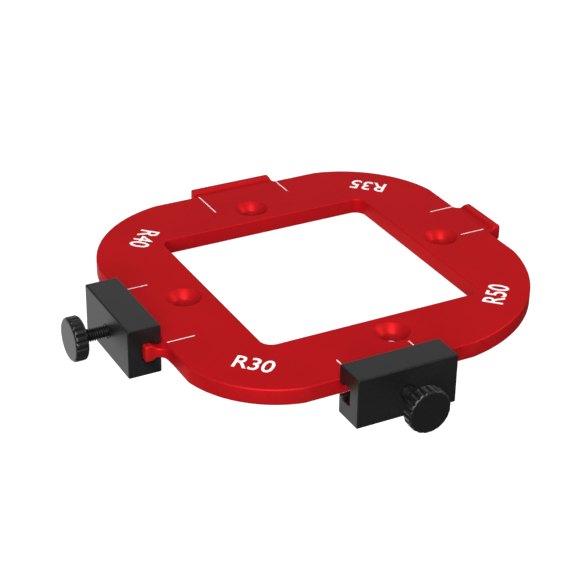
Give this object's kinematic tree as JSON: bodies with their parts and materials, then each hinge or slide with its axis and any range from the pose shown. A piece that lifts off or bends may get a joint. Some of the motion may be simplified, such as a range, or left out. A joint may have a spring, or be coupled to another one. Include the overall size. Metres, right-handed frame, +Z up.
{
  "type": "corner radius routing template",
  "caption": "Flat corner-rounding template for a router, with a different radius at each corner and sliding clamp blocks locked by thumb screws.",
  "frame": {"origin": "middle of the plate's thickness, on the axis of the four-hole circle", "axes": "+Z up out of the countersunk face, +X towards the largest corner's side, +Y away from the front clamp block"},
  "size_m": [0.147, 0.147, 0.015],
  "materials": {
    "red_anodised": "fine blasted, red anodised",
    "black_anodised": "fine blasted, black anodised",
    "black_oxide": "black oxide thread",
    "black_knob": "satin moulded black",
    "white_paint": "printed white marks"
  },
  "bodies": {
    "plate": {"template_plate": "red_anodised"},
    "left_clamp": {"left_block": "black_anodised"},
    "left_screw": {"left_stud": "black_oxide"},
    "left_grip": {"left_knob": "black_knob"},
    "front_clamp": {"front_block": "black_anodised"},
    "front_screw": {"front_stud": "black_oxide"},
    "front_grip": {"front_knob": "black_knob"}
  },
  "joints": [
    {"name": "left_block_slide", "type": "slide", "parent": "plate", "child": "left_clamp", "axis": [0, 1, 0], "range_m": [-0.014, 0.012]},
    {"name": "front_block_slide", "type": "slide", "parent": "plate", "child": "front_clamp", "axis": [1, 0, 0], "range_m": [-0.008, 0.009]},
    {"name": "left_screw_feed", "type": "slide", "parent": "left_clamp", "child": "left_screw", "axis": [1, 0, 0], "range_m": [-0.0014, 0.0013]},
    {"name": "left_knob_turn", "type": "hinge", "parent": "left_screw", "child": "left_grip", "pos_m": [-0.0795, -0.0043, 0], "axis": [1, 0, 0], "range_deg": [-725, 675]},
    {"name": "front_screw_feed", "type": "slide", "parent": "front_clamp", "child": "front_screw", "axis": [0, 1, 0], "range_m": [-0.0014, 0.0013]},
    {"name": "front_knob_turn", "type": "hinge", "parent": "front_screw", "child": "front_grip", "pos_m": [-0.0104, -0.0795, 0], "axis": [0, 1, 0], "range_deg": [-725, 675]}
  ],
  "couplings": [
    {"joint": "left_knob_turn", "follows": "left_screw_feed", "rad_per_m": 8976},
    {"joint": "front_knob_turn", "follows": "front_screw_feed", "rad_per_m": 8976}
  ]
}
